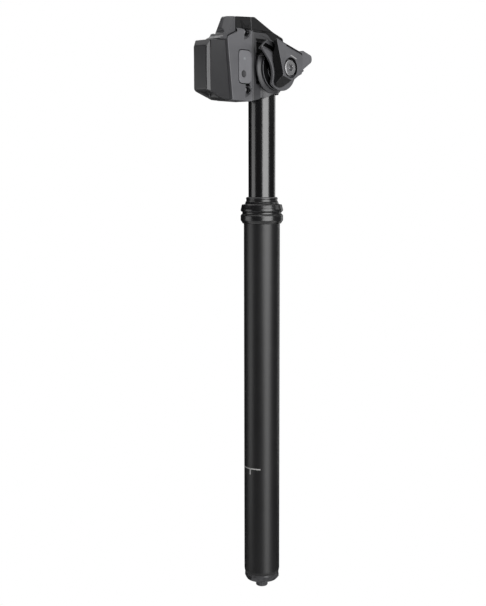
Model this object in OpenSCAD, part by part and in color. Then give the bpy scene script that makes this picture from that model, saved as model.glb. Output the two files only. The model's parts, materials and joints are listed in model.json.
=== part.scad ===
// Wireless dropper seatpost: a telescoping bicycle seatpost with a damper inside, an actuator behind the
// head, a plug-in battery and a side-clamping saddle rail head. Millimetres. X forward, Y left, Z up.
// The origin lies on the post axis at the underside of the collar. Drawn at full height.

/* [Lower post] */
// Outside diameter of the lower tube, the size that fits the seat tube
post_d = 27.2; // [26.6:0.2:34.9]
// Length of the lower tube below the collar
insert_l = 271.6; // [240:0.1:380]
// Wall of the lower tube
lower_wall = 1.9; // [1.7:0.1:2.4]
// Height of the bevel round the bottom of the lower tube
bevel_h = 2.8; // [0.5:0.1:4]
// Depth of that bevel
bevel_in = 0.55; // [0.2:0.05:0.8]

/* [Collar] */
// Largest diameter of the collar rings
collar_d = 32; // [31:0.1:40]
// Height of the collar up to the shoulder under the wiper
collar_h = 16.4; // [15.8:0.1:24]
// Diameter of the groove between the rings
collar_groove_d = 29.4; // [29:0.1:30.8]
// Length of the thread between collar and lower tube
neck_h = 9; // [7:0.5:10]
// Height of the wiper lip above the collar
wiper_h = 3.3; // [2:0.1:6]
// Outside diameter of the wiper lip
wiper_d = 23.8; // [23.2:0.1:24.8]

/* [Upper post] */
// Stroke of the post
travel = 75; // [50:1:90]
// Outside diameter of the upper tube
upper_d = 20.2; // [19.6:0.1:20.6]
// Wall of the upper tube
upper_wall = 1.7; // [1.4:0.1:2]
// Length of upper tube left inside the lower tube at full height
overlap = 95; // [80:1:110]
// Gap between the wiper and the head at full drop
drop_gap = 0.7; // [0.5:0.1:4]
// Diameter of the anti-rotation keys
key_d = 2.5; // [2:0.1:2.8]
// Length of the anti-rotation keys
key_l = 12; // [8:1:16]
// Number of anti-rotation keys
key_count = 3; // [2:1:4]

/* [Damper] */
// Diameter of the fixed damper shaft
shaft_d = 7; // [6:0.1:7.4]
// Bore of the hollow damper shaft
shaft_bore_d = 3; // [2:0.1:4]
// Bore of the damper tube
damper_bore_d = 10; // [9.6:0.1:10.6]
// Wall of the damper tube
damper_wall = 0.6; // [0.5:0.1:1]
// Length of the main piston
piston_l = 10; // [8:0.5:14]
// Length of the floating piston
floating_l = 10; // [8:0.5:14]
// Lift of the poppet when the cam opens it
poppet_lift = 1.2; // [0.8:0.1:1.6]

/* [Bottom cap] */
// Width across the flats of the hexagon
hex_af = 23; // [18:0.5:24]
// Height of the hexagon
hex_h = 4.2; // [3:0.1:8]
// Thickness of the flange above the hexagon
flange_t = 1.3; // [0.8:0.1:3]
// Angle at which the thread brings the hexagon to rest
hex_turn = 4; // [0:1:59]
// Outside diameter of the valve cap
valve_cap_d = 9.1; // [9:0.1:12]
// Height of the valve cap
valve_cap_h = 6; // [4.5:0.1:9]

/* [Rail clamp] */
// Diameter of the saddle rails
rail_d = 7; // [7:0.1:7.4]
// Distance between the saddle rails
rail_spacing = 44; // [43:0.5:46]
// Length of the rail seats
rail_seat_l = 40; // [34:1:44]
// Height of the rails above the clamp bolt
rail_up = 11; // [10:0.1:12]
// Nose-down angle of the rails against the square of the post
rail_tilt = 16; // [10:1:20]
// Diameter of the clamp bolt
bolt_d = 6; // [5:1:6]
// Diameter of the clamp bolt head
bolt_head_d = 11.6; // [11:0.1:13]
// Distance of the clamp bolt behind the post axis
bolt_back = 2.2; // [0:0.1:4]
// Height of the clamp bolt above the mouth of the head
bolt_up = 17.8; // [17:0.1:22]
// Diameter of the tilt boss on the head
boss_d = 30.8; // [28:0.2:32]
// Width of the head over both tilt bosses
boss_w = 29; // [27:0.5:30]
// Width over both outer clamps
clamp_w = 60; // [59:0.5:64]

/* [Control unit] */
// Width of the control housing
housing_w = 17; // [16.6:0.2:20]
// Wall of the control housing
housing_wall = 1.5; // [1.2:0.1:1.8]
// Width of the raised back of the housing
ridge_w = 13; // [11:0.5:14]
// Diameter of the actuator motor
motor_d = 10; // [8:0.5:10]
// Width of the button plate
plate_w = 12.6; // [11:0.1:13.2]
// Height of the button plate
plate_h = 23.2; // [21:0.1:24]
// Diameter of the button
button_d = 4.4; // [3.5:0.1:5]
// Travel of the button
button_travel = 0.6; // [0.4:0.1:0.8]
// Diameter of the status light
light_d = 2; // [1.5:0.1:2.6]

/* [Battery] */
// Thickness of the battery
battery_t = 14.8; // [14:0.2:16.6]
// Wall of the battery case
battery_wall = 1.4; // [1.2:0.1:2]
// Gap between the battery and what it docks against
dock_gap = 0.4; // [0.3:0.1:0.6]

/* [Fits] */
// Radial play of sliding and turning fits
run_fit = 0.04; // [0.02:0.01:0.08]
// Gap between faces that pass each other
pass_gap = 0.3; // [0.2:0.05:0.5]

/* [Hidden] */
$fn = 96;
eps = 0.01;
cut = 1;

// Lower post
post_r = post_d / 2;
bore_r = post_r - lower_wall;
neck_r = post_r - 0.7;
collar_r = collar_d / 2;
collar_groove_r = collar_groove_d / 2;
bush_seat_r = neck_r - 0.5;
wiper_seat_r = upper_d / 2 + 1.3;
wiper_top = collar_h + wiper_h;
wiper_base = collar_h - 2.4;
cap_plug_l = 10;

// Upper post and damper
upper_r = upper_d / 2;
upper_bore_r = upper_r - upper_wall;
key_r = key_d / 2;
key_at = upper_r + key_r - 0.35;
upper_bottom = -overlap;
key_bottom = upper_bottom + 2;
bushing_bottom = key_bottom + key_l + 2;
bushing_l = 12;
shaft_r = shaft_d / 2;
shaft_bore_r = shaft_bore_d / 2;
damper_r = damper_bore_d / 2;
damper_out_r = damper_r + damper_wall;
seal_head_l = 12;
seal_head_top = upper_bottom + seal_head_l;
bumper_l = 4;
piston_bottom = seal_head_top + bumper_l + pass_gap;
piston_top = piston_bottom + piston_l;
damper_top = piston_top + travel + 52;
valve_body_l = 18;
floating_bottom = damper_top - floating_l - 20;

// Head: the mouth of the tube socket is the level that the rest of the head is placed from
head_z = wiper_top + travel + drop_gap;
socket_l = 7;
socket_r = upper_r + 2.4;
skirt_r = wiper_d / 2 + 1.9;
skirt_low = -3.2;
skirt_room = 20;
tube_top = head_z + socket_l;
cam_up = socket_l + 4;
cam_r = 2.2;
cam_shaft_r = 1.6;
cam_half_l = 3;
cam_off = poppet_lift / 2;
cam_room_r = norm([cam_half_l, cam_r + cam_off]) + pass_gap;
poppet_top = head_z + cam_up + cam_off - cam_r - pass_gap;

// Rail clamp
bolt_x = -bolt_back;
bolt_z = head_z + bolt_up;
bolt_r = bolt_d / 2;
bolt_head_r = bolt_head_d / 2;
bolt_play = 0.2;
recess_r = bolt_head_r + 1.5;
boss_r = boss_d / 2;
boss_y = boss_w / 2;
rail_r = rail_d / 2;
rail_y = rail_spacing / 2;
rail_split = 0.4;
clamp_y = clamp_w / 2;
spigot_r = 8;
spigot_l = 7.5;
disc_r = 16;
disc_in = boss_y + pass_gap;
collar_ring_r = boss_r;
collar_ring_t = 1.9;
boss_rim = 2.2;
boss_rim_y = 1.6;
boss_flange_t = 0.9;
boss_neck_r = 13;
boss_top = 9;
boss_low = 0.4;
hub_r = 10;
stem_half_w = 7.8;
waist_r = 15;
flange_y = rail_y - rail_split;
cradle_t = 5.2;
flange_in = flange_y - 2.4;
cradle_half_l = rail_seat_l / 2 + 4.3;
cradle_rake = 5;
cradle_low = rail_up - rail_r - 0.8;
cradle_high = rail_up + rail_r + 0.2;
bolt_seat_y = clamp_y - 4;

// Control unit, in heights above the mouth of the head
side_y = housing_w / 2;
ridge_y = ridge_w / 2;
shoulder_up = 43.8;
ledge = 0.7 * (side_y - ridge_y);
ridge_rise = 1.2;
fold_x = -31;
roll_r = 5.5;
roll_x = -18;
roll_crease = 0.15;
brow_r = 3.6;
brow_low = 36.6;
web_y = 4.6;
brow_y = side_y - 0.95 * ledge;
joint_x = -19;
gasket_t = 0.6;
gasket_in = 0.1;
gasket_y = side_y - gasket_in;
housing_front = joint_x - gasket_t;
floor_up = -6;
joint_low = floor_up + 0.4;
ridge_up = 53;
gasket_low = joint_low + gasket_in;
gasket_high = ridge_up + ridge_rise - gasket_in;
dock_top = [-45.2, 36.1];
dock_bottom = [-40.3, floor_up];
seam_x = -35.7;
cavity_back = -39;
cavity_low = cam_up - motor_d / 2;
cavity_high = 38.2;
gearbox_l = 7;
screw_low = [-21.6, 2];
screw_high = [-22.8, 42.6];
screw_y = side_y - 2.6;
screw_head_r = 2.1;
screw_r = 1.25;
screw_play = 0.1;
flare_turn = 42;
plate_t = 1;
plate_x = -28.1;
plate_up = 18.1;
plate_seam = 0.35;
plate_proud = 0.2;
button_x = -29.3;
button_up = 13;
light_x = -28.6;
light_up = 24;
board_t = 1;
board_y = side_y - housing_wall - 1.6;
latch_pivot = [seam_x - 1.6, ridge_up - 1.7];
latch_pin_r = 1;
latch_pin_end = 0.9 - ridge_y;
finger_at = [-47, 42.6];
finger_r = 2.2;
finger_y = 5;
latch_knuckle_r = 1.7;
lug_r = 1.6;
lug_y = 2;
battery_y = battery_t / 2;
battery_back = -65.5;
battery_back_y = battery_y - 1.4;
battery_step = -62.5;
tongue_l = 2;
dock_slope = (dock_top[0] - dock_bottom[0]) / (dock_top[1] - dock_bottom[1]);
contact_up = 24;
contact_pitch = 3.2;
contact_r = 0.9;
pad_r = 1.3;
pad_x = dock_x(contact_up) - tongue_l - dock_gap;

// Where the sloping dock face lies at a height above the mouth of the head
function dock_x(up) = dock_bottom[0] + dock_slope * (up - floor_up);

// Plain vector helpers
function unit(v) = v / norm(v);
function turn(a) = [cos(a), sin(a)];

// The points that round one corner of an outline, b, between its neighbours a and c
function round_corner(a, b, c, r, n = 6) =
    let (
        to_a = unit(a - b),
        to_c = unit(c - b),
        half = acos(max(-1, min(1, to_a * to_c))) / 2,
        from = b + to_a * r / tan(half),
        to = b + to_c * r / tan(half),
        mid = b + unit(to_a + to_c) * r / sin(half),
        a0 = atan2(from[1] - mid[1], from[0] - mid[0]),
        a1 = atan2(to[1] - mid[1], to[0] - mid[0]),
        sweep = ((a1 - a0 + 540) % 360) - 180
    )
    [for (i = [0:n]) mid + r * turn(a0 + sweep * i / n)];

// An outline given as [x, y, corner radius] points, with its corners rounded
function rounded(points) =
    let (n = len(points))
    [for (i = [0:n - 1])
        let (
            b = points[i],
            a = points[(i + n - 1) % n],
            c = points[(i + 1) % n],
            p = [b[0], b[1]]
        )
        each b[2] > 0 ? round_corner([a[0], a[1]], p, [c[0], c[1]], b[2]) : [p]];

// An outline in X and Z drawn out across the post between two values of Y
module across(outline, y0, y1) {
    translate([0, y1, 0])
        rotate([90, 0, 0])
            linear_extrude(y1 - y0)
                polygon(outline);
}

// The same, evenly to both sides
module across_both(outline, y) {
    across(outline, -y, y);
}

// A profile in Y and Z drawn out along the post's fore-and-aft direction between two values of X
module along(profile, x0, x1) {
    translate([x0, 0, 0])
        rotate([90, 0, 90])
            linear_extrude(x1 - x0)
                polygon(profile);
}

// A rod along Y from y0 to y1 at a place in X and Z
module rod_y(x, z, r, y0, y1) {
    translate([x, y0, z])
        rotate([-90, 0, 0])
            cylinder(r = r, h = y1 - y0);
}

// A rod along X from x0 to x1 at a place in Y and Z
module rod_x(y, z, r, x0, x1) {
    translate([x0, y, z])
        rotate([0, 90, 0])
            cylinder(r = r, h = x1 - x0);
}

// A tube on the post axis
module tube(r_out, r_in, z0, z1) {
    translate([0, 0, z0])
        difference() {
            cylinder(r = r_out, h = z1 - z0);
            translate([0, 0, -cut])
                cylinder(r = r_in, h = z1 - z0 + 2 * cut);
        }
}

// A round ring on the post axis
module ring(r_mid, r_wire, z) {
    translate([0, 0, z])
        rotate_extrude()
            translate([r_mid, 0])
                circle(r = r_wire, $fn = 24);
}

// The places of the anti-rotation keys round the post
module at_keys() {
    for (i = [0:key_count - 1])
        rotate(180 + i * 360 / key_count)
            translate([key_at, 0, 0])
                children();
}

// Lower post

module lower_tube() {
    bottom = -insert_l;
    color("#1b1b1d")
        difference() {
            rotate_extrude()
                polygon([
                    [bore_r, bottom],
                    [post_r - bevel_in, bottom],
                    [post_r, bottom + bevel_h],
                    [post_r, 0],
                    [neck_r, 0],
                    [neck_r, neck_h],
                    [bore_r, neck_h]
                ]);
            translate([0, 0, -insert_l - cut])
                at_keys()
                    cylinder(r = key_r + run_fit, h = insert_l + neck_h + 2 * cut);
        }
}

module collar() {
    ring_low = 0.36 * collar_h;
    groove_mid = 0.48 * collar_h;
    ring_high = 0.63 * collar_h;
    shoulder = 0.86 * collar_h;
    color("#202022")
        rotate_extrude()
            polygon([
                [neck_r, 0],
                [collar_groove_r - 0.2, 0],
                [collar_groove_r + 0.3, 1],
                [collar_r, 2.4],
                [collar_r, ring_low],
                [collar_r - 0.4, ring_low + 0.7],
                [collar_groove_r, groove_mid - 0.6],
                [collar_groove_r, groove_mid + 0.6],
                [collar_r - 0.1, groove_mid + 1.5],
                [collar_r, ring_high],
                [collar_r - 0.3, ring_high + 1],
                [collar_r - 0.9, shoulder],
                [wiper_d / 2 + 0.9, shoulder + 0.3],
                [wiper_d / 2 + 0.3, collar_h],
                [wiper_seat_r, collar_h],
                [wiper_seat_r, wiper_base],
                [bush_seat_r, wiper_base],
                [bush_seat_r, neck_h],
                [neck_r, neck_h]
            ]);
}

module wiper_seal() {
    inner = upper_r + run_fit;
    lip = wiper_d / 2;
    color("#2a2a2c")
        rotate_extrude()
            polygon([
                [inner, wiper_base],
                [wiper_seat_r, wiper_base],
                [wiper_seat_r, collar_h],
                [lip, collar_h],
                [lip - 0.25, collar_h + 0.45 * wiper_h],
                [lip, collar_h + 0.6 * wiper_h],
                [lip - 0.1, wiper_top - 0.35],
                [lip - 0.45, wiper_top],
                [inner + 0.5, wiper_top],
                [inner, wiper_top - 1.4]
            ]);
}

module upper_bushing() {
    color("#8a7a52")
        tube(bush_seat_r, upper_r + run_fit, neck_h, wiper_base);
}

module end_cap() {
    flange_z = -insert_l - flange_t;
    hex_z = flange_z - hex_h;
    plug_top = -insert_l + cap_plug_l;
    stem_r = valve_cap_d / 2 - 0.75;
    stem_l = valve_cap_h - 1.1;
    groove_z = -insert_l + 6;
    color("#2c2c2f")
        difference() {
            union() {
                translate([0, 0, -insert_l])
                    cylinder(r = bore_r, h = cap_plug_l);
                translate([0, 0, flange_z])
                    cylinder(r = post_r - bevel_in, h = flange_t);
                rotate(hex_turn)
                    translate([0, 0, hex_z])
                        intersection() {
                            cylinder(d = hex_af / cos(30), h = hex_h, $fn = 6);
                            translate([0, 0, -0.2])
                                cylinder(r1 = hex_af / 2 - 0.2, r2 = hex_af / 2 + hex_h, h = hex_h + 0.2);
                        }
                translate([0, 0, hex_z - stem_l])
                    cylinder(r = stem_r, h = stem_l + eps);
            }
            translate([0, 0, groove_z - 1])
                tube_cut(bore_r + cut, bore_r - 1.7, 2);
            translate([0, 0, plug_top - 8])
                cylinder(r = shaft_r, h = 8 + cut);
            translate([0, 0, hex_z - stem_l - cut])
                cylinder(r = shaft_bore_r + 0.9, h = 12 + cut);
            translate([0, 0, hex_z - stem_l])
                cylinder(r = shaft_bore_r, h = insert_l);
        }
}

// The cutter of a groove round a plug
module tube_cut(r_out, r_in, h) {
    difference() {
        cylinder(r = r_out, h = h);
        translate([0, 0, -cut])
            cylinder(r = r_in, h = h + 2 * cut);
    }
}

module end_cap_o_ring() {
    color("#151515")
        ring(bore_r - 0.85, 0.82, -insert_l + 6);
}

module valve_core() {
    stem_bottom = -insert_l - flange_t - hex_h - valve_cap_h + 1.1;
    color("#c8a958")
        translate([0, 0, stem_bottom + 0.4]) {
            cylinder(r = shaft_bore_r + 0.9, h = 7);
            translate([0, 0, -0.3])
                cylinder(r = 0.6, h = 1);
        }
}

module valve_cap() {
    top = -insert_l - flange_t - hex_h;
    color("#232325")
        difference() {
            translate([0, 0, top - valve_cap_h])
                union() {
                    cylinder(r1 = valve_cap_d / 2 - 0.5, r2 = valve_cap_d / 2, h = 0.6);
                    translate([0, 0, 0.6])
                        cylinder(r = valve_cap_d / 2, h = valve_cap_h - 0.6);
                }
            translate([0, 0, top - valve_cap_h + 0.9])
                cylinder(r = valve_cap_d / 2 - 0.75 + run_fit, h = valve_cap_h);
            for (a = [0:30:330])
                rotate(a)
                    translate([valve_cap_d / 2 + 0.25, 0, top - valve_cap_h + 1])
                        cylinder(r = 0.55, h = valve_cap_h, $fn = 24);
        }
}

module damper_shaft() {
    color("#b9bcc0")
        tube(shaft_r, shaft_bore_r, -insert_l + cap_plug_l - 8, piston_top - 2);
}

module main_piston() {
    color("#9b8f6a")
        difference() {
            translate([0, 0, piston_bottom])
                cylinder(r = damper_r - 0.1, h = piston_l);
            translate([0, 0, piston_bottom - cut])
                cylinder(r = shaft_r, h = piston_l - 2 + cut);
            translate([0, 0, piston_bottom])
                cylinder(r = shaft_bore_r, h = piston_l + cut);
            translate([0, 0, piston_bottom + piston_l / 2 - 2])
                tube_cut(damper_r + cut, damper_r - 0.9, 4);
        }
}

module piston_glide_ring() {
    mid = piston_bottom + piston_l / 2;
    color("#3a4a3a")
        tube(damper_r - run_fit, damper_r - 0.9, mid - 2, mid + 2);
}

module topout_bumper() {
    color("#3b2f2a")
        tube(damper_r - 0.3, shaft_r, piston_bottom - bumper_l, piston_bottom);
}

// Upper post

module upper_tube() {
    color("#141416")
        difference() {
            tube(upper_r, upper_bore_r, upper_bottom, tube_top);
            translate([0, 0, key_bottom])
                at_keys()
                    cylinder(r = key_r, h = key_l);
        }
}

module guide_keys() {
    color("#b08d3c")
        translate([0, 0, key_bottom])
            at_keys()
                cylinder(r = key_r, h = key_l);
}

module lower_bushing() {
    color("#8a7a52")
        tube(bore_r - run_fit, upper_r, bushing_bottom, bushing_bottom + bushing_l);
}

module seal_head() {
    color("#8d9094")
        difference() {
            translate([0, 0, upper_bottom])
                cylinder(r = upper_bore_r, h = seal_head_l);
            translate([0, 0, upper_bottom - cut])
                cylinder(r = shaft_r + run_fit, h = seal_head_l + 2 * cut);
            translate([0, 0, upper_bottom + 3])
                cylinder(r = shaft_r + 1.4, h = 2.4);
        }
}

module shaft_seal() {
    color("#151515")
        tube(shaft_r + 1.4, shaft_r + run_fit, upper_bottom + 3, upper_bottom + 5.4);
}

module damper_tube() {
    color("#a8abb0")
        tube(damper_out_r, damper_r, seal_head_top, damper_top);
}

module floating_piston() {
    color("#5a6a7a")
        difference() {
            tube(upper_bore_r - run_fit, damper_out_r + run_fit,
                floating_bottom, floating_bottom + floating_l);
            translate([0, 0, floating_bottom + floating_l / 2 - 1])
                tube_cut(upper_bore_r + cut, upper_bore_r - 1, 2);
            translate([0, 0, floating_bottom + floating_l / 2 - 1])
                cylinder(r = damper_out_r + 1, h = 2);
        }
}

module floating_piston_seals() {
    z0 = floating_bottom + floating_l / 2 - 1;
    color("#151515") {
        tube(upper_bore_r - run_fit, upper_bore_r - 1, z0, z0 + 2);
        tube(damper_out_r + 1, damper_out_r + run_fit, z0, z0 + 2);
    }
}

module valve_body() {
    seat_z = damper_top + 4;
    port_at = 5.9;
    port_roof = 6;
    color("#8d9094")
        difference() {
            translate([0, 0, damper_top])
                cylinder(r = upper_bore_r, h = valve_body_l);
            translate([0, 0, damper_top - cut])
                cylinder(r = 4, h = 4 + cut);
            translate([0, 0, seat_z - cut])
                cylinder(r = 1.5 + run_fit, h = valve_body_l);
            for (a = [0:90:270])
                rotate(a)
                    translate([port_at, 0, damper_top - cut])
                        cylinder(r = 0.9, h = valve_body_l - port_roof);
        }
}

module poppet() {
    color("#c3c6ca")
        translate([0, 0, damper_top]) {
            translate([0, 0, 1.5])
                cylinder(r = 3.2, h = 2.5);
            cylinder(r = 1.5, h = poppet_top - damper_top);
        }
}

// Head

module cam_shaft() {
    z = head_z + cam_up;
    color("#b9bcc0")
        union() {
            rod_x(0, z, cam_shaft_r, joint_x - 1.5, 5);
            rod_x(0, z + cam_off, cam_r, -cam_half_l, cam_half_l);
        }
}

// Section of the head and the housing: upright sides, a ledge, then flanks that lean in to the ridge
function roof() = [
    [-side_y, floor_up - 4],
    [side_y, floor_up - 4],
    [side_y, shoulder_up],
    [side_y - ledge, shoulder_up + ledge],
    [ridge_y, ridge_up],
    [ridge_y, ridge_up + 4],
    [-ridge_y, ridge_up + 4],
    [-ridge_y, ridge_up],
    [ledge - side_y, shoulder_up + ledge],
    [-side_y, shoulder_up]
];

// Side view of the head, with the ridge that runs down over the bolt to the front
function head_outline() = rounded([
    [joint_x, joint_low, 0],
    [-9, -3.4, 4],
    [-1, 0.4, 6],
    [7, 1.2, 5],
    [11.3, bolt_up - 4, 5],
    [12.8, bolt_up + 10, 4],
    [15.6, 33.5, 2],
    [16.4, 41.6, 2.5],
    [5, 45.2, 6],
    [-15, ridge_up + ridge_rise + 0.3, 4],
    [joint_x, ridge_up + ridge_rise, 0]
]);

// Side view of the hollow between the rear flange, the brow and the lower lip
function head_hollow() = rounded([
    [roll_x, 7, 0],
    [-6, 4.6, 3],
    [30, 4.6, 0],
    [30, brow_low + brow_r, 0],
    [roll_x, brow_low + brow_r, 0]
]);

// Side view of what is cut back in front of the brow, down to the flanks of the ridge
function brow_front() = rounded([
    [30, 30, 0],
    [30, 60, 0],
    [-10, 60, 0],
    [-10, shoulder_up + ledge, 0],
    [-2.6, 42.7, 5],
    [2.1, 38.6, 2],
    [1.6, 30, 0]
]);

// The hollow of one side; behind it and above it the side of the head rolls over into the hollow
module head_scoop(s) {
    roll_y = roll_r - side_y - roll_crease;
    brow_at = brow_r - side_y - roll_crease;
    front = 30;
    to_side(s)
        difference() {
            across(head_hollow(), -side_y - cut, -web_y);
            translate([roll_x, roll_y, -cut])
                cylinder(r = roll_r, h = ridge_up);
            rod_x(brow_at, brow_low + brow_r, brow_r, roll_x - cut, front + cut);
            translate([roll_x - cut, brow_at, brow_low])
                cube([front - roll_x + 2 * cut, -brow_at, brow_r + cut]);
        }
}

// The tilt boss: a neck, and at each end a flange with a bevelled rim, cut level above
module tilt_boss() {
    rim_y = boss_y - boss_rim_y;
    rod_y(bolt_x, bolt_up, boss_neck_r, -boss_y, boss_y);
    intersection() {
        for (s = [-1, 1])
            translate([bolt_x, s * rim_y, bolt_up])
                rotate([-90 * s, 0, 0])
                    union() {
                        cylinder(r1 = boss_r + boss_rim, r2 = boss_r, h = boss_rim_y);
                        translate([0, 0, -boss_flange_t])
                            cylinder(r = boss_r + boss_rim, h = boss_flange_t);
                    }
        translate([bolt_x - boss_d, -boss_y - cut, boss_low])
            cube([2 * boss_d, boss_w + 2 * cut, bolt_up + boss_top - boss_low]);
    }
}

// The skirt round the mouth of the tube socket, cut to the slope of the head's underside
module socket_skirt() {
    intersection() {
        translate([0, 0, skirt_low])
            cylinder(r = skirt_r, h = socket_l - skirt_low);
        across_both(head_outline(), skirt_r + cut);
    }
}

module head_forging() {
    color("#232326")
        difference() {
            translate([0, 0, head_z])
                union() {
                    difference() {
                        intersection() {
                            across_both(head_outline(), side_y + cut);
                            along(roof(), joint_x - cut, 20);
                        }
                        for (s = [-1, 1]) {
                            head_scoop(s);
                            to_side(s)
                                across(brow_front(), -side_y - cut, -brow_y);
                        }
                    }
                    tilt_boss();
                    socket_skirt();
                    cylinder(r = socket_r, h = bolt_up);
                }
            // Relief for the wiper and the top of the collar at full drop
            translate([0, 0, head_z - skirt_room])
                cylinder(r = wiper_d / 2 + pass_gap, h = skirt_room);
            translate([0, 0, head_z - skirt_room])
                cylinder(r = skirt_r + pass_gap, h = skirt_room + skirt_low);
            // Socket for the upper tube and the room for the cam above it
            translate([0, 0, head_z - cut])
                cylinder(r = upper_r, h = socket_l + cut);
            translate([0, 0, head_z + socket_l - eps])
                cylinder(r = cam_room_r, h = cam_up - socket_l + cam_r + cam_off + pass_gap);
            rod_x(0, head_z + cam_up, cam_shaft_r + pass_gap, joint_x - cut, 6);
            // Bearings of the inner clamps and the bolt hole
            for (s = [-1, 1])
                rod_y(bolt_x, bolt_z, spigot_r + run_fit, s < 0 ? -boss_y - cut : boss_y - spigot_l,
                    s < 0 ? spigot_l - boss_y : boss_y + cut);
            rod_y(bolt_x, bolt_z, bolt_r + bolt_play, -boss_y, boss_y);
            at_screws()
                rod_x(0, 0, screw_r, joint_x - cut, joint_x + 6);
        }
}

// The places of the four screws that hold the housing to the head, at X = 0
module at_screws() {
    for (s = [-1, 1])
        for (p = [screw_low, screw_high])
            translate([0, s * screw_y, head_z + p[1]])
                children();
}

module housing_gasket() {
    color("#0f0f10")
        difference() {
            translate([0, 0, head_z])
                intersection() {
                    along(roof(), housing_front, joint_x);
                    translate([housing_front - cut, -gasket_y, gasket_low])
                        cube([gasket_t + 2 * cut, 2 * gasket_y, gasket_high - gasket_low]);
                }
            translate([housing_front - cut, -housing_inner(), head_z + cavity_low])
                cube([gasket_t + 2 * cut, 2 * housing_inner(), cavity_high - cavity_low]);
            at_screws()
                rod_x(0, 0, screw_r + screw_play, housing_front - cut, joint_x + cut);
        }
}

function housing_inner() = side_y - housing_wall;

// Side view of the housing up to its shoulder; it runs past the front joint and is cut off there
function housing_side() = rounded([
    [dock_bottom[0], floor_up, 0],
    [joint_x, floor_up, 0],
    [joint_x, 44.4, 0],
    [-24, 44.2, 4],
    [-36.8, 41.8, 3],
    [dock_top[0] + 0.6, 38.4, 1],
    [dock_top[0], dock_top[1], 0]
]);

// Plan view of the housing, which narrows behind a fold to the battery's thickness
function housing_plan() =
    let (
        back = dock_top[0] - 2,
        back_y = battery_y + 0.2
    )
    [
        [back, -back_y],
        [fold_x, -side_y],
        [joint_x, -side_y],
        [joint_x, side_y],
        [fold_x, side_y],
        [back, back_y]
    ];

// Side view of the raised back between the latch and the head
function housing_ridge() = rounded([
    [seam_x + dock_gap, 30, 0],
    [joint_x, 30, 0],
    [joint_x, ridge_up + ridge_rise, 0],
    [seam_x + dock_gap, ridge_up + 0.1, 1]
]);

// Side view of the round-ended lug that carries the latch pin
function latch_lug(r) = rounded([
    [latch_pivot[0] - r, latch_pivot[1] - r - 3, 0],
    [seam_x + 3, latch_pivot[1] - r - 6, 0],
    [seam_x + 3, latch_pivot[1] + r, 0],
    [latch_pivot[0] - r, latch_pivot[1] + r, r - 0.05]
]);

// The flute that lets a driver reach a housing screw from behind, flared to the side of the housing
module screw_flute(p, s) {
    r = screw_head_r + 0.8;
    translate([p[0] - 0.6, s * (screw_y + 0.7), head_z + p[1]])
        rotate([0, -90, s * 4])
            cylinder(r1 = r, r2 = screw_head_r - 0.6, h = 10);
    translate([p[0] - 0.8, s * (screw_y + 0.4), head_z + p[1]])
        rotate([0, -90, -s * flare_turn])
            cylinder(r1 = r - 0.4, r2 = r + 3.2, h = 5);
}

// The relief that widens an upper flute along the flank of the ridge
module screw_relief(s) {
    lean = atan2(side_y - ridge_y, ridge_up - shoulder_up);
    translate([screw_high[0] - screw_head_r, s * side_y, head_z + shoulder_up - 0.6])
        rotate([s * lean, -38, 0])
            cylinder(r1 = screw_head_r + 0.9, r2 = 0.5, h = 9);
}

module plate_outline(grow) {
    w = plate_w / 2 + grow;
    h = plate_h / 2 + grow;
    r = 3 + grow;
    translate([plate_x, 0, head_z + plate_up])
        across(rounded([[-w, -h, r], [w, -h, r], [w, h, r], [-w, h, r]]), -side_y - 4, 0);
}

module control_housing() {
    color("#262629")
        difference() {
            translate([0, 0, head_z])
                difference() {
                    union() {
                        intersection() {
                            union() {
                                across_both(housing_side(), side_y + cut);
                                across_both(housing_ridge(), side_y + cut);
                            }
                            along(roof(), dock_top[0] - 5, housing_front);
                            translate([0, 0, floor_up - cut])
                                linear_extrude(ridge_up - floor_up + 4)
                                    polygon(housing_plan());
                        }
                        across_both(latch_lug(lug_r), lug_y);
                        dock_tongue(0);
                    }
                    translate([cavity_back, -housing_inner(), cavity_low])
                        cube([
                            housing_front - cavity_back + cut,
                            2 * housing_inner(),
                            cavity_high - cavity_low
                        ]);
                    rod_y(latch_pivot[0], latch_pivot[1], latch_pin_r, -3, 3);
                }
            for (s = [-1, 1])
                for (p = [screw_low, screw_high])
                    screw_flute(p, s);
            for (s = [-1, 1])
                screw_relief(s);
            for (s = [-1, 1])
                for (p = [screw_low, screw_high])
                    translate([p[0], s * screw_y, head_z + p[1]]) {
                        rod_x(0, 0, screw_head_r + pass_gap, -8, 0);
                        rod_x(0, 0, screw_r + screw_play, -cut, housing_front - p[0] + cut);
                    }
            intersection() {
                plate_outline(plate_seam);
                translate([plate_x - 20, -side_y - cut, head_z])
                    cube([40, plate_t - plate_proud + cut, 60]);
            }
            rod_y(button_x, head_z + button_up, button_d / 2 + pass_gap, -side_y, -housing_inner() + cut);
            rod_y(light_x, head_z + light_up, light_d / 2, -side_y, -housing_inner() + cut);
            for (i = [-1:1])
                rod_x(i * contact_pitch, head_z + contact_up, contact_r, pad_x - cut, cavity_back + cut);
        }
}

// The tongue on the dock face that fits the pocket in the battery
module dock_tongue(grow) {
    low = 8 - grow;
    high = 31 + grow;
    reach = tongue_l + grow;
    across_both([
        [dock_x(low) - reach, low],
        [dock_x(low) + 1, low],
        [dock_x(high) + 1, high],
        [dock_x(high) - reach, high]
    ], battery_y - 2.6 + grow);
}

module housing_screws() {
    color("#0f0f10")
        for (s = [-1, 1])
            for (p = [screw_low, screw_high])
                translate([p[0], s * screw_y, head_z + p[1]])
                    difference() {
                        union() {
                            rod_x(0, 0, screw_head_r, -2, 0);
                            rod_x(0, 0, screw_r, -eps, joint_x + 6 - p[0]);
                        }
                        translate([-2 - cut, 0, 0])
                            rotate([0, 90, 0])
                                cylinder(r = 1, h = 1.3 + cut, $fn = 6);
                    }
}

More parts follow.
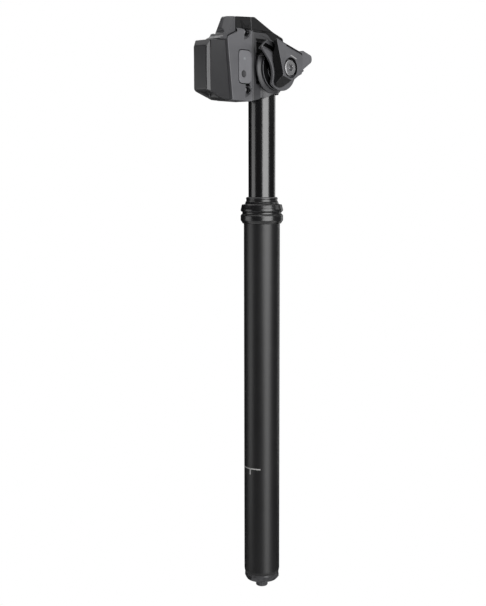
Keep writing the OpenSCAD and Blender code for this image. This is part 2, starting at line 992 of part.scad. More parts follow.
module motor() {
    back = cavity_back + 0.4;
    color("#9a9ca0")
        rod_x(0, head_z + cam_up, motor_d / 2 - 0.2, back, joint_x - 1.5 - gearbox_l);
}

module gearbox() {
    front = joint_x - 1.5;
    color("#6f7276")
        difference() {
            translate([front - gearbox_l, -motor_d / 2, head_z + cam_up - motor_d / 2])
                cube([gearbox_l + 1, motor_d, motor_d]);
            rod_x(0, head_z + cam_up, cam_shaft_r + run_fit, front, front + 2);
        }
}

module circuit_board() {
    color("#1f4d33")
        translate([cavity_back + 0.5, -board_y - board_t, head_z + cavity_low + 0.1])
            cube([housing_front - cavity_back - 1.5, board_t, cavity_high - cavity_low - 0.2]);
}

module button_switch() {
    color("#3a3a3c")
        translate([button_x, 0, head_z + button_up])
            translate([-2, -housing_inner() + 0.1, -2])
                cube([4, housing_inner() - board_y - board_t - 0.1, 4]);
}

module button_plate() {
    color("#4a4a4d")
        difference() {
            intersection() {
                plate_outline(0);
                translate([plate_x - 20, -side_y - plate_proud, head_z])
                    cube([40, plate_t, 60]);
            }
            rod_y(button_x, head_z + button_up, button_d / 2 + 0.25, -side_y - 4, 0);
            rod_y(light_x, head_z + light_up, light_d / 2, -side_y - 4, 0);
        }
}

module button() {
    face = -side_y - plate_proud - 0.35;
    stem = -housing_inner() + 0.1 - button_travel - 0.1;
    color("#1c1c1e")
        difference() {
            rod_y(button_x, head_z + button_up, button_d / 2, face, stem);
            translate([button_x, face - 5.6, head_z + button_up])
                sphere(r = 6);
        }
}

module status_light() {
    color("#d8dadc")
        rod_y(light_x, head_z + light_up, light_d / 2, -side_y - plate_proud - 0.1, -board_y - board_t);
}

module dock_contacts() {
    color("#d0a94a")
        for (i = [-1:1])
            rod_x(i * contact_pitch, head_z + contact_up, contact_r, pad_x - 0.1, cavity_back + 0.5);
}

// Battery

// Side view of the battery case
function battery_side() = rounded([
    [battery_back, 0.2, 1.5],
    [-47, floor_up + 0.2, 4],
    [dock_bottom[0] - dock_gap, floor_up, 0],
    [dock_top[0] - dock_gap, dock_top[1] - 0.2, 1.5],
    [battery_step, 34.8, 1],
    [battery_back, 30.6, 1.5]
]);

// Plan view of the battery case, with its long rear bevels
function battery_plan(grow) = rounded([
    [battery_back - grow, battery_back_y + grow, 0.8],
    [battery_back - grow, -battery_back_y - grow, 0.8],
    [battery_step, -battery_y - grow, 1],
    [fold_x, -battery_y - grow, 0],
    [fold_x, battery_y + grow, 0],
    [battery_step, battery_y + grow, 1]
]);

// The bevel down each front edge of the battery, beside the housing
module dock_bevel(s) {
    bevel = 1.7;
    translate([dock_bottom[0] - dock_gap, s * battery_y, floor_up])
        rotate([0, atan(dock_slope), 0])
            translate([0, 0, -10])
                linear_extrude(70)
                    polygon([[-bevel, s], [-bevel, 0], [cut, -s * (bevel + cut)], [2 * cut, s]]);
}

module battery_case() {
    color("#2b2b2d")
        translate([0, 0, head_z])
            difference() {
                intersection() {
                    across_both(battery_side(), battery_y + 1);
                    translate([0, 0, floor_up - 5])
                        linear_extrude(60)
                            polygon(battery_plan(0));
                }
                // Finger hollow in the sloping underside
                intersection() {
                    across_both(rounded([
                        [-63, -8, 0],
                        [-50.5, -8, 0],
                        [-51.5, -1.2, 2],
                        [-61, 2.4, 1]
                    ]), 4.4);
                    translate([-57, 0, 0])
                        rotate([90, 0, 0])
                            cylinder(r = 9, h = 20, center = true);
                }
                dock_tongue(dock_gap);
                battery_room(0, battery_wall + 0.4);
                for (s = [-1, 1])
                    dock_bevel(s);
                for (i = [-1:1])
                    rod_x(i * contact_pitch, contact_up, pad_r, pad_x - 1.6, pad_x + tongue_l);
            }
}

// The closed room for the cell, and the cell itself, which has round edges
module battery_room(r, side) {
    back = battery_back + 2.9;
    low = 6;
    high = 31.5;
    front = tongue_l + dock_gap + 3.3;
    across_both(rounded([
        [back, low, r],
        [dock_x(low) - front, low, r],
        [dock_x(high) - front, high, r],
        [back, high, r]
    ]), battery_y - side);
}

module battery_cell() {
    color("#7a8aa0")
        translate([0, 0, head_z])
            battery_room(1, battery_wall + 0.6);
}

module battery_contacts() {
    color("#d0a94a")
        for (i = [-1:1])
            rod_x(i * contact_pitch, head_z + contact_up, pad_r, pad_x - 1.6, pad_x - 0.3);
}

// Side view of the latch: the hinged back, the sweep and the foot over the battery
function latch_side() = rounded([
    [-52.2, 35.8, 0.3],
    [dock_top[0] - 0.2, 36.35, 0],
    [dock_top[0] + 0.3, 38.9, 0],
    [-36.8, 42.3, 3],
    [seam_x, 42.8, 0],
    [seam_x, ridge_up, 1.2],
    [-41.4, ridge_up, 2.5],
    [-46.6, 41.5, 4],
    [-48.6, 38.4, 4],
    [-52.2, 36.7, 0.3]
]);

// The wedge-nosed plan of the latch, leaning with its back
module latch_nose() {
    lean = 28;
    translate([-40, 0, 41.5])
        rotate([0, lean, 0])
            translate([0, 0, -20])
                linear_extrude(60)
                    polygon(rounded([
                        [-7.4, 0, 3],
                        [-2.6, -ridge_y, 0.6],
                        [40, -ridge_y, 0],
                        [40, ridge_y, 0],
                        [-2.6, ridge_y, 0.6]
                    ]));
}

module battery_latch() {
    foot_up = 40.6;
    color("#2f2f32")
        translate([0, 0, head_z])
            difference() {
                union() {
                    intersection() {
                        across_both(latch_side(), ridge_y);
                        latch_nose();
                    }
                    intersection() {
                        across_both(latch_side(), battery_y + 1);
                        linear_extrude(foot_up)
                            polygon(battery_plan(-0.3));
                    }
                }
                rod_y(finger_at[0], finger_at[1], finger_r, -finger_y, finger_y);
                across_both(latch_lug(lug_r + pass_gap), lug_y + pass_gap);
                rod_y(latch_pivot[0], latch_pivot[1], lug_r * sqrt(2), -lug_y - pass_gap, lug_y + pass_gap);
                rod_y(latch_pivot[0], latch_pivot[1], latch_pin_r + run_fit, latch_pin_end, 20);
                for (s = [-1, 1])
                    translate([latch_pivot[0], 0, latch_pivot[1]])
                        latch_clear(s);
            }
}

// Cuts the front upper corner of the latch back so that it turns past the raised back of the housing
module latch_clear(s) {
    rotate([90, 0, 0])
        translate([0, 0, s * 4.5 - 3])
            difference() {
                cube([3, 3, 6]);
                translate([0, 0, -cut])
                    cylinder(r = latch_knuckle_r, h = 6 + 2 * cut);
            }
}

module latch_pin() {
    color("#b9bcc0")
        rod_y(latch_pivot[0], head_z + latch_pivot[1], latch_pin_r, latch_pin_end + 0.1, ridge_y - 0.6);
}

// Rail clamp

// Places what follows at the bolt, with X along the rails and Z square to them
module at_clamp() {
    translate([bolt_x, 0, bolt_z])
        rotate([0, rail_tilt, 0])
            children();
}

// A saddle rail's own room at one side
module rail_room(s) {
    rod = rail_seat_l + 40;
    translate([-rod / 2, s * rail_y, rail_up])
        rotate([0, 90, 0])
            cylinder(r = rail_r, h = rod);
}

// A clamp piece drawn on the right side is mirrored to make the left one
module to_side(s) {
    if (s < 0)
        children();
    else
        mirror([0, 1, 0])
            children();
}

// Outline of an inner clamp: a long bar under the rail that narrows to a stem with a round foot
function flange_outline() =
    let (
        foot_from = 180 + acos(stem_half_w / disc_r),
        foot_to = 350
    )
    rounded(concat(
        [
            [-cradle_half_l, cradle_low, 0.5],
            [-stem_half_w, -2.4, waist_r]
        ],
        [for (i = [0:12])
            let (a = foot_from + (foot_to - foot_from) * i / 12)
            [disc_r * cos(a), disc_r * sin(a), 0]],
        [
            [cradle_half_l, cradle_low, 0.5],
            [cradle_half_l - cradle_rake, cradle_high, 1.2],
            [cradle_rake - cradle_half_l, cradle_high, 1.2]
        ]
    ));

// Outline of the thicker bar behind the rail
function cradle_outline() = rounded([
    [0.5 - cradle_half_l, cradle_low + 0.2, 0.5],
    [cradle_half_l - 0.5, cradle_low + 0.2, 0.5],
    [cradle_half_l - cradle_rake - 0.5, cradle_high - 0.2, 1],
    [cradle_rake - cradle_half_l + 0.5, cradle_high - 0.2, 1]
]);

module inner_clamp(s) {
    color("#2a2a2d")
        to_side(s)
            at_clamp()
                difference() {
                    union() {
                        rod_y(0, 0, spigot_r, -disc_in - cut, spigot_l - boss_y - pass_gap);
                        rod_y(0, 0, collar_ring_r, -disc_in - collar_ring_t, -disc_in);
                        rod_y(0, 0, hub_r, -flange_in - 0.6, -disc_in - 0.6);
                        across(flange_outline(), -flange_y, -flange_in);
                        across(cradle_outline(), -flange_in - 0.6, cradle_t - flange_y);
                    }
                    rail_room(-1);
                    rod_y(0, 0, bolt_r + bolt_play, -clamp_y, 0);
                }
}

module inner_clamp_right() {
    inner_clamp(-1);
}

module inner_clamp_left() {
    inner_clamp(1);
}

// Outline of an outer clamp, along the rails: a long top over the rail, a waist and a heel under the bolt
function outer_outline() = rounded([
    [-rail_seat_l / 2 - 0.8, rail_up + 3.6, 0.8],
    [-7.2, -6, 6],
    [-6.2, -14.6, 3],
    [1.5, -14.6, 3],
    [3.6, -7.9, 3],
    [9.4, -3, 2],
    [13.2, 0, 1],
    [12.4, 2.2, 0.8],
    [rail_seat_l / 2 + 1.8, rail_up + 1.4, 3],
    [rail_seat_l / 2, rail_up + 5.4, 2],
    [9.8, rail_up + 5.6, 2.5],
    [5.6, rail_up + 3.7, 2]
]);

module outer_clamp(s) {
    heel_in = flange_y + pass_gap;
    face_in = rail_y + rail_split;
    relief_x = 11;
    relief_slant = 36;
    heel_slope = 48;
    channel_from = -9;
    channel_l = 18.5;
    far = rail_seat_l;
    color("#303033")
        to_side(s)
            at_clamp()
                difference() {
                    across(outer_outline(), -clamp_y, -heel_in);
                    // The inner face stands off above the heel
                    across([[-far, -5], [far, -5], [far, far], [-far, far]], -face_in, 0);
                    rail_room(-1);
                    // The outer face slopes in to the heel
                    translate([0, -clamp_y, -recess_r - 0.8])
                        rotate([heel_slope, 0, 0])
                            translate([-far, -far, -far])
                                cube([2 * far, far, far]);
                    // The rear side is relieved on the inside
                    rotate([0, -rail_tilt, 0])
                        translate([-relief_x, -face_in, 0])
                            rotate(-relief_slant)
                                translate([-far, -far, -far])
                                    cube([far, 2 * far, 2 * far]);
                    // A channel runs along the top edge
                    translate([channel_from, -clamp_y - cut, rail_up + 1.9])
                        cube([channel_l, 1.2 + cut, 1.1]);
                    rod_y(0, 0, recess_r, -clamp_y - cut, -bolt_seat_y);
                    rod_y(0, 0, bolt_r + bolt_play, -clamp_y, 0);
                }
}

module outer_clamp_right() {
    outer_clamp(-1);
}

module outer_clamp_left() {
    outer_clamp(1);
}

// The six-lobed socket of the bolt, cut into a face at Y = 0
module lobed_socket(depth) {
    lobe_r = 0.75;
    rod_y(0, 0, 1.95, -cut, depth);
    for (a = [0:60:300])
        rod_y(2 * cos(a), 2 * sin(a), lobe_r, -cut, depth);
}

module clamp_bolt() {
    face = -clamp_y + 0.2;
    color("#3a3a3d")
        translate([bolt_x, 0, bolt_z])
            difference() {
                union() {
                    rod_y(0, 0, bolt_head_r, face + 0.6, -bolt_seat_y);
                    translate([0, face, 0])
                        rotate([-90, 0, 0])
                            cylinder(r1 = bolt_head_r - 0.6, r2 = bolt_head_r, h = 0.6);
                    rod_y(0, 0, bolt_r, -bolt_seat_y - eps, clamp_y - 2);
                }
                translate([0, face, 0])
                    lobed_socket(3);
            }
}

module clamp_nut() {
    face = clamp_y - 0.2;
    color("#3a3a3d")
        translate([bolt_x, 0, bolt_z])
            difference() {
                union() {
                    rod_y(0, 0, bolt_head_r, bolt_seat_y, face - 0.6);
                    translate([0, face, 0])
                        rotate([90, 0, 0])
                            cylinder(r1 = bolt_head_r - 0.6, r2 = bolt_head_r, h = 0.6);
                }
                rod_y(0, 0, bolt_r + run_fit, 0, clamp_y + cut);
            }
}

lower_tube();
collar();
wiper_seal();
upper_bushing();
end_cap();
end_cap_o_ring();
valve_core();
valve_cap();
damper_shaft();
main_piston();
piston_glide_ring();
topout_bumper();
upper_tube();
guide_keys();
lower_bushing();
seal_head();
shaft_seal();
damper_tube();
floating_piston();
floating_piston_seals();
valve_body();
poppet();
cam_shaft();
head_forging();
housing_gasket();
control_housing();
housing_screws();
motor();
gearbox();
circuit_board();
button_switch();
button_plate();
button();
status_light();
dock_contacts();
battery_case();
battery_cell();
battery_contacts();
battery_latch();
latch_pin();
inner_clamp_right();
inner_clamp_left();
outer_clamp_right();
outer_clamp_left();
clamp_bolt();
clamp_nut();
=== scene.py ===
"""Looks of the dropper seatpost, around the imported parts.

Finishes, softened edges, printed marks, the studio and the camera.
"""
import json
import math

import bpy
from mathutils import Matrix, Vector


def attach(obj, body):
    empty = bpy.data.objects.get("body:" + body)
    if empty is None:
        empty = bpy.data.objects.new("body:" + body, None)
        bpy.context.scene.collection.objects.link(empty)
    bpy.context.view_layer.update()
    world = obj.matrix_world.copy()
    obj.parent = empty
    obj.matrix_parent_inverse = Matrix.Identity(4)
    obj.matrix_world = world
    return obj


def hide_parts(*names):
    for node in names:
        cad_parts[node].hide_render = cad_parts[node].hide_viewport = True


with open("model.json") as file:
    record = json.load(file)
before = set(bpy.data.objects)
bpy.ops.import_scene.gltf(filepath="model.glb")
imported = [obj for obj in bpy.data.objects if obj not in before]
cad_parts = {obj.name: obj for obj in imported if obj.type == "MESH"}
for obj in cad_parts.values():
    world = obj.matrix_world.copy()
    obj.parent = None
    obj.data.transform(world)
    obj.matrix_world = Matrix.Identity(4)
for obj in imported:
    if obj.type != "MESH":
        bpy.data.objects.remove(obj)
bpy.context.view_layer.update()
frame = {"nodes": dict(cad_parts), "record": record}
scene = bpy.context.scene
scene.view_settings.view_transform = "Standard"

MM = 0.001
NODES = frame["nodes"]
BODIES = frame["record"]["behaviour"]["bodies"]
BODY_OF = {node: body for body, nodes in BODIES.items() for node in nodes}
SLOT_OF = {part["node"]: part["material_slot"] for part in frame["record"]["subparts"]}

# Camera: the place and lens worked out from the taper of the tube in the photograph
IMAGE_W, IMAGE_H = 486, 606
FOCAL_PX = 1100.0
POST_AXIS_PX = 261.85
SENSOR = 36.0
CAMERA_PITCH = math.radians(6.9)
CAMERA_TURN = math.radians(-48.7)
CAMERA_DISTANCE = 0.831
CAMERA_HEIGHT = 0.040

# Studio lights: name, degrees to the right of the camera as seen from the object, distance, height, size,
# watts, and whether the light looks level or at the middle of the object
SOFTBOXES = (
    ("key_softbox", 32.0, 0.95, 0.16, (0.94, 0.62), 7.0, True),
    ("low_softbox", 34.0, 0.95, -0.42, (0.56, 0.56), 2.4, True),
    ("side_softbox", 99.0, 1.0, 0.36, (0.50, 0.25), 0.45, True),
    ("rim_softbox", -78.0, 1.0, -0.16, (0.66, 0.70), 1.9, True),
    ("top_softbox", -6.0, 0.6, 0.85, (0.55, 0.45), 0.9, False),
    ("back_softbox", 200.0, 0.80, 0.95, (0.90, 0.70), 2.8, False),
    ("strip_softbox", 140.0, 1.0, -0.05, (0.30, 0.90), 0.9, True),
)
AMBIENT = 0.02
WALL_RADIUS, WALL_HEIGHT = 1.6, 3.2
WALL_SHADE, WALL_ROUGH = 0.05, 1.0
FLOOR_DROP = 0.45
FLOOR_RADIUS = 0.34
FLOOR_SHADE, FLOOR_ROUGH = 0.9, 0.8
FLOOR_GLOW = 0.5


def place_in_studio(angle, distance, height):
    """A point in the studio, by its angle to the right of the camera."""
    turn = CAMERA_TURN + math.radians(angle)
    return Vector((distance * math.sin(turn), -distance * math.cos(turn), height))


def add_camera():
    data = bpy.data.cameras.new("camera")
    camera = bpy.data.objects.new("camera", data)
    scene.collection.objects.link(camera)
    data.sensor_width = SENSOR
    data.lens = FOCAL_PX / IMAGE_H * SENSOR
    data.shift_x = (IMAGE_W / 2 - POST_AXIS_PX) / IMAGE_H
    camera.location = place_in_studio(0.0, CAMERA_DISTANCE, CAMERA_HEIGHT)
    camera.rotation_euler = (math.pi / 2 - CAMERA_PITCH, 0.0, CAMERA_TURN)
    scene.camera = camera


def add_softbox(name, place, aim, size, watts):
    """A rectangular soft light that looks at a point."""
    light = bpy.data.lights.new(name, "AREA")
    light.shape = "RECTANGLE"
    light.size, light.size_y = size
    light.energy = watts
    lamp = bpy.data.objects.new(name, light)
    lamp.location = place
    lamp.rotation_euler = (aim - place).to_track_quat("-Z", "Y").to_euler()
    lamp.visible_camera = False
    scene.collection.objects.link(lamp)


def light_studio():
    for name, angle, distance, height, size, watts, looks_level in SOFTBOXES:
        place = place_in_studio(angle, distance, height)
        aim = Vector((0, 0, height if looks_level else 0))
        add_softbox(name, place, aim, size, watts)


def white_world():
    """White to the camera and in reflections, and a low even light on the object."""
    world = bpy.data.worlds.new("studio")
    world.use_nodes = True
    scene.world = world
    nodes, links = world.node_tree.nodes, world.node_tree.links
    path = nodes.new("ShaderNodeLightPath")
    seen = path.outputs["Is Camera Ray"]
    for ray in ("Is Glossy Ray", "Is Transmission Ray"):
        either = nodes.new("ShaderNodeMath")
        either.operation = "MAXIMUM"
        links.new(seen, either.inputs[0])
        links.new(path.outputs[ray], either.inputs[1])
        seen = either.outputs[0]
    level = nodes.new("ShaderNodeMapRange")
    level.inputs["To Min"].default_value = AMBIENT
    level.inputs["To Max"].default_value = 1.0
    links.new(seen, level.inputs["Value"])
    background = nodes["Background"]
    background.inputs["Color"].default_value = (1, 1, 1, 1)
    links.new(level.outputs["Result"], background.inputs["Strength"])


def only(piece):
    """Selects one piece and nothing else."""
    bpy.ops.object.select_all(action="DESELECT")
    piece.select_set(True)
    bpy.context.view_layer.objects.active = piece


def plain_paint(name, shade, roughness):
    """The studio's own paint, for the walls and the floor."""
    paint = bpy.data.materials.new(name)
    paint.use_nodes = True
    shader = paint.node_tree.nodes["Principled BSDF"]
    shader.inputs["Base Color"].default_value = (shade, shade, shade, 1)
    shader.inputs["Roughness"].default_value = roughness
    return paint


def floor_paint():
    """The floor's paint, lifted towards white where the camera sees it, so that it keeps a pale shadow."""
    paint = plain_paint("floor_paint", FLOOR_SHADE, FLOOR_ROUGH)
    nodes, links = paint.node_tree.nodes, paint.node_tree.links
    shader = nodes["Principled BSDF"]
    path = nodes.new("ShaderNodeLightPath")
    glow = nodes.new("ShaderNodeMath")
    glow.operation = "MULTIPLY"
    glow.inputs[1].default_value = FLOOR_GLOW
    links.new(path.outputs["Is Camera Ray"], glow.inputs[0])
    links.new(glow.outputs[0], shader.inputs["Emission Strength"])
    shader.inputs["Emission Color"].default_value = (1, 1, 1, 1)
    return paint


def build_studio():
    """Dark walls that the polished tube reflects, which the camera doesn't see, and a pale floor."""
    bpy.ops.object.select_all(action="DESELECT")
    bpy.ops.mesh.primitive_cylinder_add(
        vertices=64, radius=WALL_RADIUS, depth=WALL_HEIGHT, end_fill_type="NOTHING"
    )
    walls = bpy.context.object
    walls.name = "studio_walls"
    walls.visible_camera = False
    walls.visible_shadow = False
    walls.data.materials.append(plain_paint("wall_paint", WALL_SHADE, WALL_ROUGH))
    bpy.ops.object.select_all(action="DESELECT")
    bpy.ops.mesh.primitive_circle_add(
        vertices=96, radius=FLOOR_RADIUS, fill_type="NGON", location=(0, 0, -FLOOR_DROP)
    )
    floor = bpy.context.object
    floor.name = "studio_floor"
    floor.data.materials.append(floor_paint())


# Shared effects, as node groups

def new_group(name, inputs, output):
    group = bpy.data.node_groups.new(name, "ShaderNodeTree")
    for label, kind, value in inputs:
        socket = group.interface.new_socket(name=label, in_out="INPUT", socket_type=kind)
        if value is not None:
            socket.default_value = value
    group.interface.new_socket(name=output, in_out="OUTPUT", socket_type="NodeSocketFloat")
    entry = group.nodes.new("NodeGroupInput")
    leave = group.nodes.new("NodeGroupOutput")
    return group, entry, leave


def grain_group():
    """A fine pebble, as on a moulded or sprayed surface."""
    group, entry, leave = new_group("fine_grain", [
        ("Vector", "NodeSocketVector", None),
        ("Scale", "NodeSocketFloat", 2500.0),
    ], "Grain")
    pebble = group.nodes.new("ShaderNodeTexVoronoi")
    pebble.feature = "SMOOTH_F1"
    cloud = group.nodes.new("ShaderNodeTexNoise")
    cloud.inputs["Detail"].default_value = 4.0
    blend = group.nodes.new("ShaderNodeMath")
    blend.operation = "MULTIPLY"
    for texture in (pebble, cloud):
        group.links.new(entry.outputs["Vector"], texture.inputs["Vector"])
        group.links.new(entry.outputs["Scale"], texture.inputs["Scale"])
    group.links.new(pebble.outputs["Distance"], blend.inputs[0])
    group.links.new(cloud.outputs["Fac"], blend.inputs[1])
    group.links.new(blend.outputs[0], leave.inputs["Grain"])
    return group


def lines_group():
    """Fine parallel lines left by turning, drawing or brushing: the noise is stretched by Stretch."""
    group, entry, leave = new_group("tool_lines", [
        ("Vector", "NodeSocketVector", None),
        ("Stretch", "NodeSocketVector", (60.0, 60.0, 6000.0)),
    ], "Lines")
    stretch = group.nodes.new("ShaderNodeVectorMath")
    stretch.operation = "MULTIPLY"
    lines = group.nodes.new("ShaderNodeTexNoise")
    lines.inputs["Scale"].default_value = 1.0
    lines.inputs["Detail"].default_value = 3.0
    group.links.new(entry.outputs["Vector"], stretch.inputs[0])
    group.links.new(entry.outputs["Stretch"], stretch.inputs[1])
    group.links.new(stretch.outputs["Vector"], lines.inputs["Vector"])
    group.links.new(lines.outputs["Fac"], leave.inputs["Lines"])
    return group


def handling_group():
    """Broad faint smudges from handling, in a mask from 0 to 1."""
    group, entry, leave = new_group("handling", [
        ("Vector", "NodeSocketVector", None),
        ("Scale", "NodeSocketFloat", 60.0),
    ], "Smudge")
    cloud = group.nodes.new("ShaderNodeTexNoise")
    cloud.inputs["Detail"].default_value = 5.0
    cloud.inputs["Roughness"].default_value = 0.6
    spread = group.nodes.new("ShaderNodeMapRange")
    spread.inputs["From Min"].default_value = 0.35
    spread.inputs["From Max"].default_value = 0.65
    group.links.new(entry.outputs["Vector"], cloud.inputs["Vector"])
    group.links.new(entry.outputs["Scale"], cloud.inputs["Scale"])
    group.links.new(cloud.outputs["Fac"], spread.inputs["Value"])
    group.links.new(spread.outputs["Result"], leave.inputs["Smudge"])
    return group


def rub_group():
    """Where a corner is rubbed paler, in a mask from 0 to 1."""
    group, entry, leave = new_group("edge_rub", [
        ("Vector", "NodeSocketVector", None),
        ("Start", "NodeSocketFloat", 0.54),
        ("Full", "NodeSocketFloat", 0.66),
    ], "Rub")
    shape = group.nodes.new("ShaderNodeNewGeometry")
    spread = group.nodes.new("ShaderNodeMapRange")
    patchy = group.nodes.new("ShaderNodeTexNoise")
    patchy.inputs["Scale"].default_value = 350.0
    both = group.nodes.new("ShaderNodeMath")
    both.operation = "MULTIPLY"
    group.links.new(shape.outputs["Pointiness"], spread.inputs["Value"])
    group.links.new(entry.outputs["Start"], spread.inputs["From Min"])
    group.links.new(entry.outputs["Full"], spread.inputs["From Max"])
    group.links.new(entry.outputs["Vector"], patchy.inputs["Vector"])
    group.links.new(spread.outputs["Result"], both.inputs[0])
    group.links.new(patchy.outputs["Fac"], both.inputs[1])
    group.links.new(both.outputs[0], leave.inputs["Rub"])
    return group


GRAIN = grain_group()
LINES = lines_group()
HANDLING = handling_group()
RUB = rub_group()

# Stretches for the tool lines, in lines per metre along each axis
TURNED = (60.0, 60.0, 7000.0)
DRAWN = (5000.0, 5000.0, 25.0)
BRUSHED = (80.0, 4000.0, 4000.0)


def placed(tree, group, **values):
    """A shared effect placed in a material, read at the piece's own coordinates."""
    where = tree.nodes.get("Object place")
    if where is None:
        where = tree.nodes.new("ShaderNodeTexCoord")
        where.name = "Object place"
    node = tree.nodes.new("ShaderNodeGroup")
    node.node_tree = group
    tree.links.new(where.outputs["Object"], node.inputs["Vector"])
    for label, value in values.items():
        node.inputs[label].default_value = value
    return node.outputs[0]


def mixed(tree, factor, first, second):
    """A colour between two, each a colour or a socket."""
    mix = tree.nodes.new("ShaderNodeMix")
    mix.data_type = "RGBA"
    tree.links.new(factor, mix.inputs[0])
    for socket, colour in ((mix.inputs[6], first), (mix.inputs[7], second)):
        if isinstance(colour, tuple):
            socket.default_value = (*colour, 1.0)
        else:
            tree.links.new(colour, socket)
    return mix.outputs[2]


def ranged(tree, value, low, high):
    """A value that runs from low to high as a mask runs from 0 to 1."""
    spread = tree.nodes.new("ShaderNodeMapRange")
    spread.inputs["To Min"].default_value = low
    spread.inputs["To Max"].default_value = high
    tree.links.new(value, spread.inputs["Value"])
    return spread.outputs["Result"]


def relief(tree, height, strength, depth):
    """A bump of that depth in metres."""
    bump = tree.nodes.new("ShaderNodeBump")
    bump.inputs["Strength"].default_value = strength
    bump.inputs["Distance"].default_value = depth
    tree.links.new(height, bump.inputs["Height"])
    return bump.outputs["Normal"]


def grey(shade, blue=1.06):
    """A neutral shade with a trace of blue, as black parts have."""
    return (shade, shade, shade * blue)


def new_finish(name):
    material = bpy.data.materials.new(name)
    material.use_nodes = True
    tree = material.node_tree
    return material, tree, tree.nodes["Principled BSDF"]


def dress(tree, shader, colour, roughness, normal):
    tree.links.new(colour, shader.inputs["Base Color"])
    tree.links.new(roughness, shader.inputs["Roughness"])
    tree.links.new(normal, shader.inputs["Normal"])


def anodised(name, shade, rough, lines, gloss=0.5, coat=0.0, worn=0.25):
    """Black anodised aluminium: faint tool lines, smudges, and corners rubbed paler."""
    material, tree, shader = new_finish(name)
    smudge = placed(tree, HANDLING, Scale=45.0)
    tool = placed(tree, LINES, Stretch=lines)
    rub = placed(tree, RUB)
    shaded = mixed(tree, smudge, grey(shade * 0.85), grey(shade * 1.15))
    colour = mixed(tree, rub, shaded, grey(shade + worn * 0.3))
    dress(tree, shader, colour, ranged(tree, tool, rough * 0.88, rough * 1.12),
          relief(tree, tool, 0.25, 0.000004))
    shader.inputs["Specular IOR Level"].default_value = gloss
    shader.inputs["Coat Weight"].default_value = coat
    shader.inputs["Coat Roughness"].default_value = 0.08
    return material


def painted(name, shade, rough, gloss=0.5):
    """Satin paint on a forging: a soft orange peel under fine specks."""
    material, tree, shader = new_finish(name)
    smudge = placed(tree, HANDLING, Scale=70.0)
    grain = placed(tree, GRAIN, Scale=2200.0)
    rub = placed(tree, RUB)
    shaded = mixed(tree, smudge, grey(shade * 0.85), grey(shade * 1.15))
    colour = mixed(tree, rub, shaded, grey(shade + 0.05))
    dress(tree, shader, colour, ranged(tree, smudge, rough * 0.9, rough * 1.1),
          relief(tree, grain, 0.25, 0.00002))
    shader.inputs["Specular IOR Level"].default_value = gloss
    return material


def moulded(name, shade, rough, scale=2600.0, gloss=0.45, depth=0.00003):
    """Fine-textured moulding with a soft sheen on its rubbed corners."""
    material, tree, shader = new_finish(name)
    grain = placed(tree, GRAIN, Scale=scale)
    smudge = placed(tree, HANDLING, Scale=80.0)
    rub = placed(tree, RUB)
    shaded = mixed(tree, smudge, grey(shade * 0.95), grey(shade * 1.05))
    colour = mixed(tree, rub, shaded, grey(shade * 1.5 + 0.02))
    dress(tree, shader, colour, ranged(tree, grain, rough * 1.1, rough * 0.85),
          relief(tree, grain, 0.35, depth))
    shader.inputs["Specular IOR Level"].default_value = gloss
    return material


def rubber(name, shade, rough=0.65):
    """Seal rubber: matt, with a little dust held in its grain."""
    material, tree, shader = new_finish(name)
    grain = placed(tree, GRAIN, Scale=1800.0)
    dust = placed(tree, HANDLING, Scale=120.0)
    colour = mixed(tree, dust, grey(shade), grey(shade * 1.6, 1.0))
    dress(tree, shader, colour, ranged(tree, dust, rough, rough + 0.15),
          relief(tree, grain, 0.4, 0.00004))
    shader.inputs["Specular IOR Level"].default_value = 0.4
    return material


def bare_metal(name, colour, rough, lines, tarnish=0.85):
    """Bare metal with tool lines and a faint tarnish."""
    material, tree, shader = new_finish(name)
    tool = placed(tree, LINES, Stretch=lines)
    stain = placed(tree, HANDLING, Scale=90.0)
    dull = tuple(c * tarnish for c in colour)
    dress(tree, shader, mixed(tree, stain, dull, colour), ranged(tree, tool, rough * 0.8, rough * 1.2),
          relief(tree, tool, 0.3, 0.000006))
    shader.inputs["Metallic"].default_value = 1.0
    return material


def polymer(name, colour, rough=0.4):
    """A plain bearing polymer with faint flow marks."""
    material, tree, shader = new_finish(name)
    flow = placed(tree, LINES, Stretch=(400.0, 400.0, 150.0))
    grain = placed(tree, GRAIN, Scale=1500.0)
    pale = tuple(min(1.0, c * 1.2) for c in colour)
    dress(tree, shader, mixed(tree, flow, colour, pale), ranged(tree, flow, rough * 0.9, rough * 1.1),
          relief(tree, grain, 0.2, 0.00002))
    return material


def circuit_green(name):
    """Solder resist with pale tracks."""
    material, tree, shader = new_finish(name)
    tracks = placed(tree, LINES, Stretch=(300.0, 900.0, 900.0))
    colour = mixed(tree, tracks, (0.006, 0.06, 0.02), (0.03, 0.16, 0.07))
    dress(tree, shader, colour, ranged(tree, tracks, 0.3, 0.45), relief(tree, tracks, 0.3, 0.00003))
    return material


def lens(name):
    """A small milky light window."""
    material, tree, shader = new_finish(name)
    cloud = placed(tree, HANDLING, Scale=900.0)
    grain = placed(tree, GRAIN, Scale=4000.0)
    colour = mixed(tree, cloud, (0.30, 0.32, 0.33), (0.42, 0.44, 0.45))
    dress(tree, shader, colour, ranged(tree, cloud, 0.2, 0.3), relief(tree, grain, 0.1, 0.00001))
    shader.inputs["Coat Weight"].default_value = 0.5
    return material


def mark_white(name):
    """Printed white with a slightly uneven film."""
    material, tree, shader = new_finish(name)
    film = placed(tree, HANDLING, Scale=500.0)
    grain = placed(tree, GRAIN, Scale=3000.0)
    colour = mixed(tree, film, (0.50, 0.50, 0.49), (0.62, 0.62, 0.61))
    dress(tree, shader, colour, ranged(tree, film, 0.45, 0.6), relief(tree, grain, 0.2, 0.00001))
    return material


